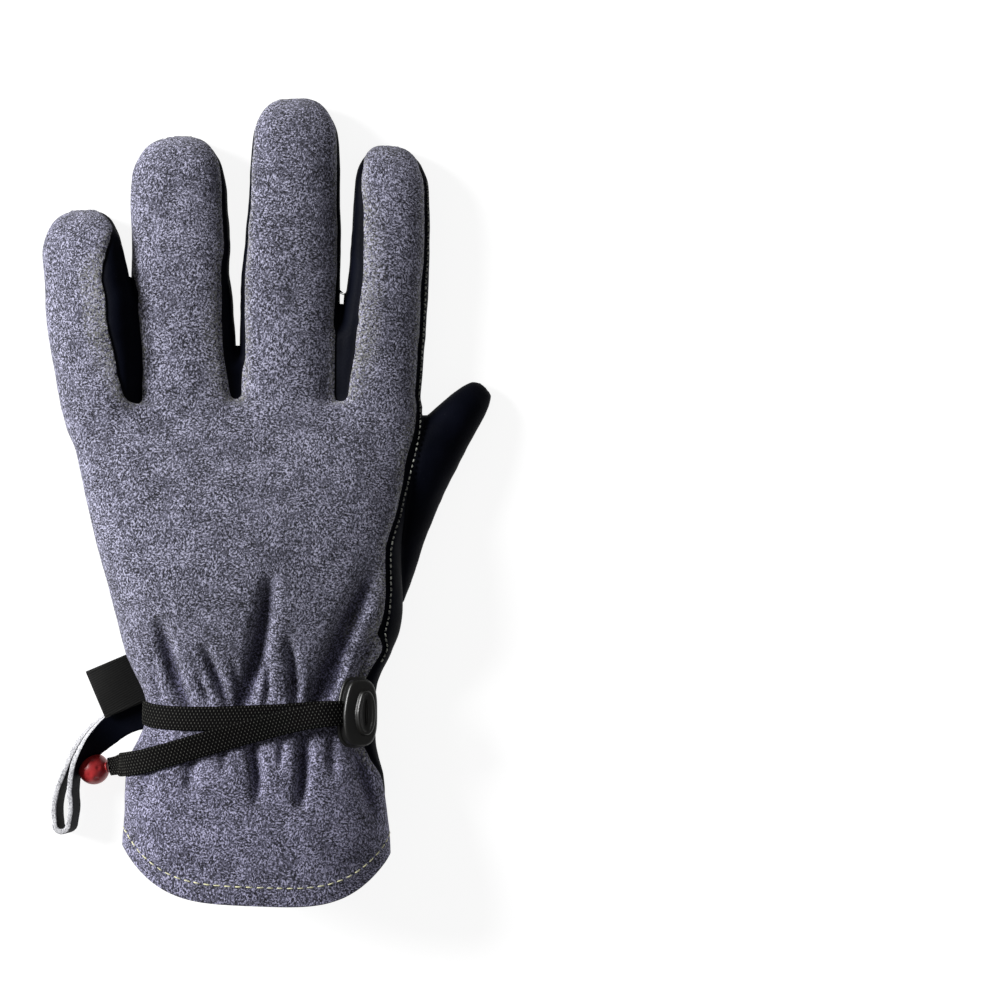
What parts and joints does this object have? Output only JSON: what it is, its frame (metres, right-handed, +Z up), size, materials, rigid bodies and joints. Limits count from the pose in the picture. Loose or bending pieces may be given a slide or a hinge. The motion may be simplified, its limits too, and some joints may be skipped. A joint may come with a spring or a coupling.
{
  "type": "leather work glove",
  "caption": "Left-hand leather work glove, grey suede back and black palm, webbing wrist strap with lock, end ball, label and hanging loop.",
  "frame": {"origin": "on the surface, under the middle of the glove's outline without the free webbing end and its ball", "axes": "+Z up from the surface through the back of the hand, +Y towards the fingertips, +X towards the thumb"},
  "size_m": [0.1479, 0.2686, 0.0388],
  "materials": {
    "suede": "blue-grey split suede with a worn nap",
    "black_leather": "matte black grain leather",
    "webbing": "flat black woven tape",
    "label_cloth": "black woven label, bare",
    "black_plastic": "satin black",
    "red_plastic": "gloss"
  },
  "bodies": {
    "root": {"back_panel": "suede", "palm_panel": "black_leather", "fourchette_ring_little": "black_leather", "fourchette_middle_ring": "black_leather", "fourchette_index_middle": "black_leather", "thumb": "black_leather", "side_label": "label_cloth", "hanging_loop": "black_leather", "cord_lock": "black_plastic", "wrist_strap": "webbing", "drawstring_tail": "webbing", "cord_end_ball": "red_plastic"}
  },
  "joints": []
}
